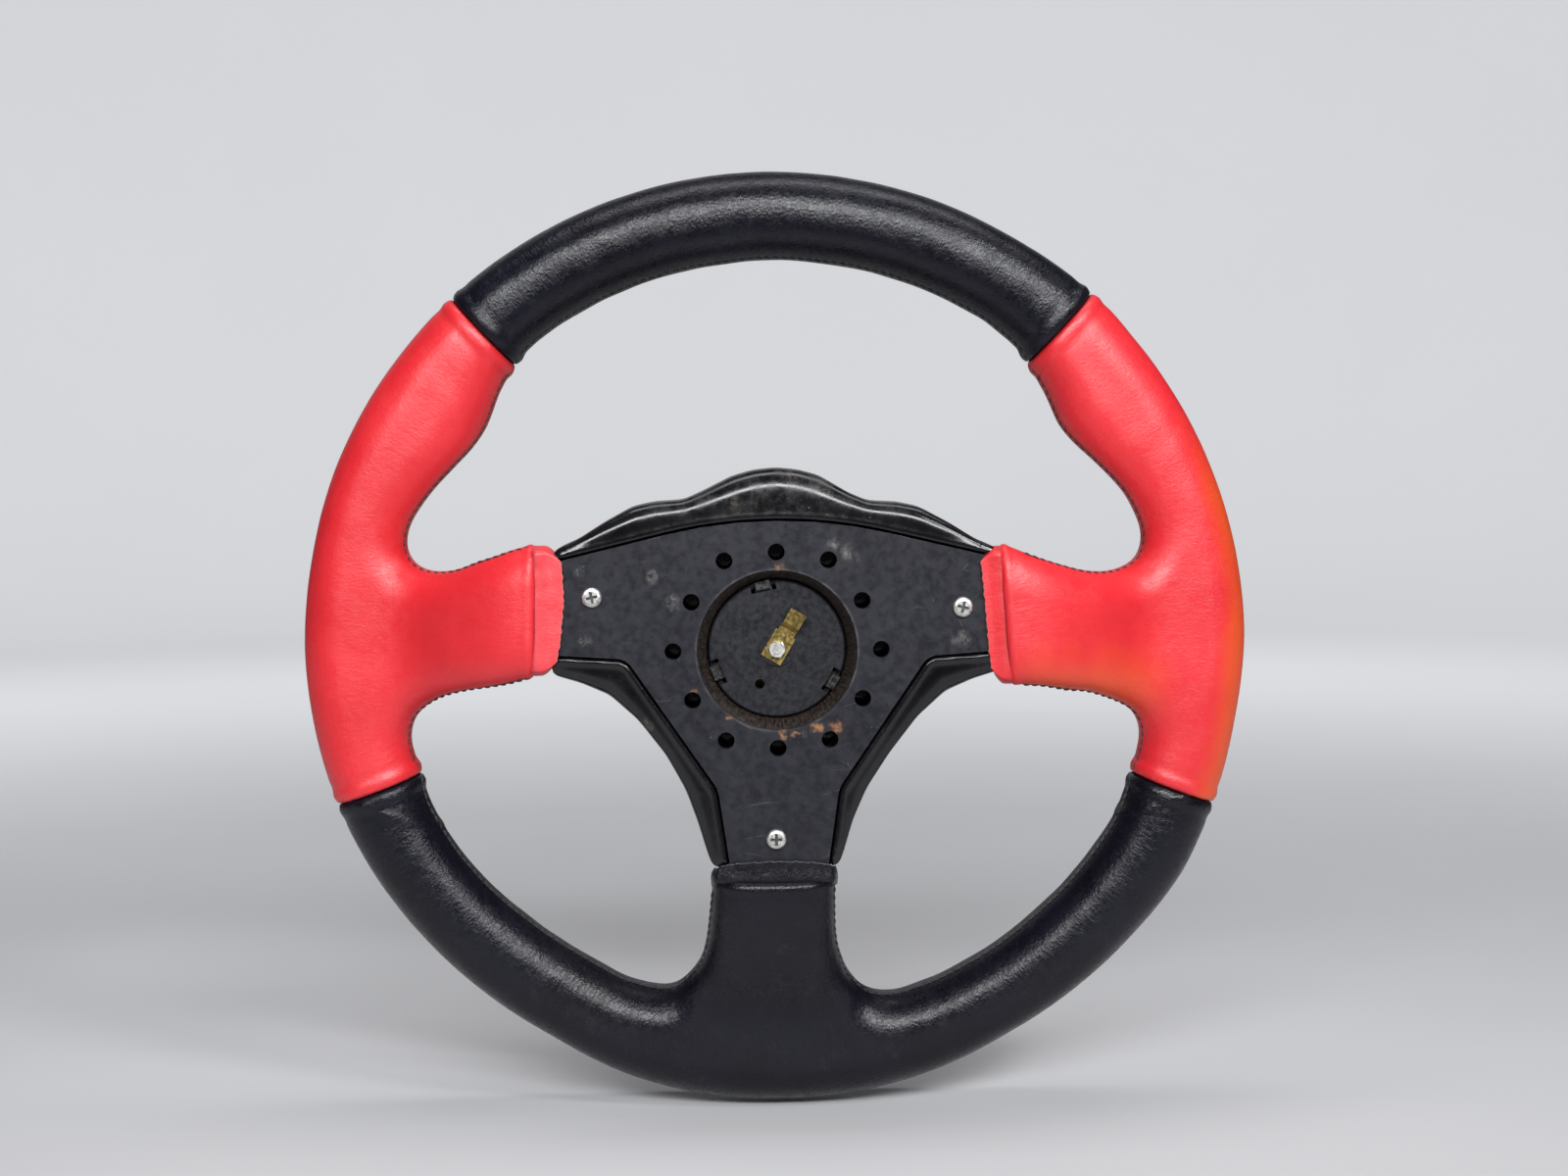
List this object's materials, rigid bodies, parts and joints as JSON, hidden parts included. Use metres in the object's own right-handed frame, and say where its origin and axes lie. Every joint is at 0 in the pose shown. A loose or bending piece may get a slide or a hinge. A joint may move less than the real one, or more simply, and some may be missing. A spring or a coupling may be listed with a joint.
{
  "type": "motorsport steering wheel",
  "caption": "Dished three-spoke sport steering wheel with black and red leather grips, a drilled steel spider plate, a gloss centre cover and a sprung horn button.",
  "frame": {"origin": "centre of the two hub bolt circles, on the back face of the spider plate", "axes": "-Y along the steering column toward the hub, +Y toward the driver, +Z to 12 o'clock, +X to the right when the wheel is seen from the back"},
  "size_m": [0.348, 0.0584, 0.348],
  "materials": {
    "plate_black": "satin black coating, scratched and dusty, rust marks near the opening",
    "core_steel": "plain rolled steel",
    "foam": "moulded polyurethane foam with a closed skin",
    "leather_black": "smooth fine-grained black leather, slightly worn",
    "leather_red": "smooth fine-grained red leather, faded to orange at the right edge",
    "thread_black": "waxed thread",
    "cover_gloss": "gloss black moulding with dust and fine scratches",
    "zinc": "bright zinc plating",
    "spring_steel": "tempered spring steel",
    "brass": "dull tarnished brass",
    "horn_black": "satin black moulding",
    "button_black": "plain black button, satin"
  },
  "bodies": {
    "wheel": {"spider_plate": "plate_black", "rim_core": "core_steel", "grip_foam": "foam", "leather_top": "leather_black", "leather_left": "leather_red", "leather_right": "leather_red", "leather_bottom": "leather_black", "stitching_top": "thread_black", "stitching_left": "thread_black", "stitching_right": "thread_black", "stitching_bottom": "thread_black", "spoke_cover": "cover_gloss", "cover_screws": "zinc", "horn_body": "horn_black", "clip_ring": "spring_steel", "terminal_screw": "zinc", "horn_terminal": "brass", "terminal_nut": "zinc", "return_spring": "spring_steel", "horn_bezel": "horn_black"},
    "button": {"horn_cap": "button_black", "contact_plate": "brass"}
  },
  "joints": [
    {"name": "horn_press", "type": "slide", "parent": "wheel", "child": "button", "axis": [0, -1, 0], "range_m": [0, 0.0023], "stiffness_N_per_m": 1500, "springref_m": -0.0015, "deforming": ["return_spring"]}
  ]
}
